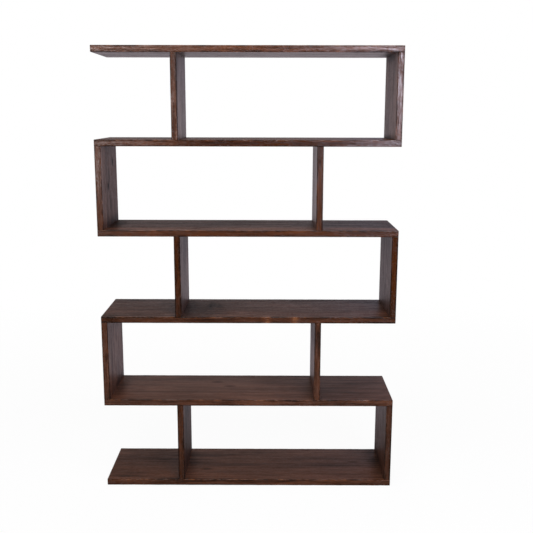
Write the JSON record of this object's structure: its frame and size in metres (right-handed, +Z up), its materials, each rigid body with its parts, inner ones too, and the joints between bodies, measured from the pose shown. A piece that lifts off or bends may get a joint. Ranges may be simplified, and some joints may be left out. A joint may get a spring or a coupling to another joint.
{
  "type": "zigzag bookshelf",
  "caption": "Tall open bookshelf in dark-stained solid wood: full-length boards carried by end panels that alternate sides and by offset dividers, open front and back, for books.",
  "frame": {"origin": "on the floor under the middle of the shelf", "axes": "+Z up, +X to the right seen from the front, the front edges face -Y"},
  "size_m": [1.2, 0.31, 1.81],
  "materials": {
    "shelf_timber": "dark brown stained hardwood with a thin satin lacquer",
    "dowel_beech": "raw fluted beech",
    "screw_steel": "zinc plated",
    "glide_nylon": "dark brown moulded nylon",
    "nail_steel": "bright drawn steel"
  },
  "bodies": {
    "root": {"base_board": "shelf_timber", "shelf_board_2": "shelf_timber", "shelf_board_3": "shelf_timber", "shelf_board_4": "shelf_timber", "shelf_board_5": "shelf_timber", "top_board": "shelf_timber", "end_panel_1_right": "shelf_timber", "divider_1_left": "shelf_timber", "end_panel_2_left": "shelf_timber", "divider_2_right": "shelf_timber", "end_panel_3_right": "shelf_timber", "divider_3_left": "shelf_timber", "end_panel_4_left": "shelf_timber", "divider_4_right": "shelf_timber", "end_panel_5_right": "shelf_timber", "divider_5_left": "shelf_timber", "end_panel_1_dowels": "dowel_beech", "divider_1_dowels": "dowel_beech", "end_panel_2_dowels": "dowel_beech", "divider_2_dowels": "dowel_beech", "end_panel_3_dowels": "dowel_beech", "divider_3_dowels": "dowel_beech", "end_panel_4_dowels": "dowel_beech", "divider_4_dowels": "dowel_beech", "end_panel_5_dowels": "dowel_beech", "divider_5_dowels": "dowel_beech", "base_board_screws": "screw_steel", "shelf_board_2_screws": "screw_steel", "shelf_board_3_screws": "screw_steel", "shelf_board_4_screws": "screw_steel", "shelf_board_5_screws": "screw_steel", "floor_glides": "glide_nylon", "floor_glide_nails": "nail_steel"}
  },
  "joints": []
}
